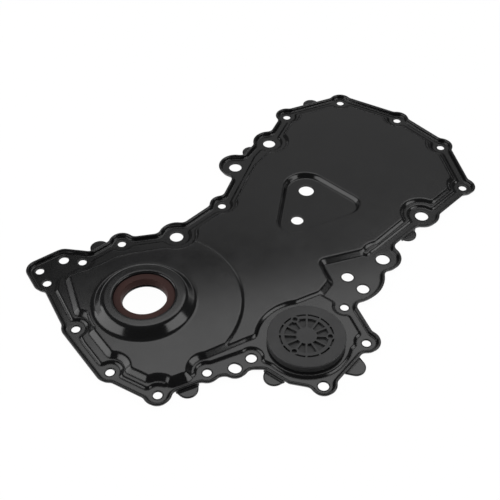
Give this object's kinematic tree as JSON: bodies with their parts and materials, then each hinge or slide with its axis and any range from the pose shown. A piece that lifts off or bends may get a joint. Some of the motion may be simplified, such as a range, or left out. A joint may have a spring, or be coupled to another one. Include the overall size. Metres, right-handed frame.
{
  "type": "timing cover",
  "caption": "Pressed sheet-steel timing cover with a turned-out rim, stepped pan, raised crank boss with a lip seal, sunk triangle and a round access plug.",
  "frame": {"origin": "axis of the locating hole beside the crank, in the plane of the mounting face", "axes": "+Z away from the engine, parallel to the crank axis, +Y along the cover's long side away from the crank, +X towards the plug"},
  "size_m": [0.3627, 0.5508, 0.0185],
  "materials": {
    "black_coat": "satin",
    "brown_rubber": "matte",
    "spring_steel": "satin",
    "cap_plastic": "matte",
    "black_rubber": "matte"
  },
  "bodies": {
    "root": {"cover_shell": "black_coat", "crank_oil_seal": "brown_rubber", "seal_garter_spring": "spring_steel", "access_cap": "cap_plastic", "cap_o_ring": "black_rubber"}
  },
  "joints": []
}
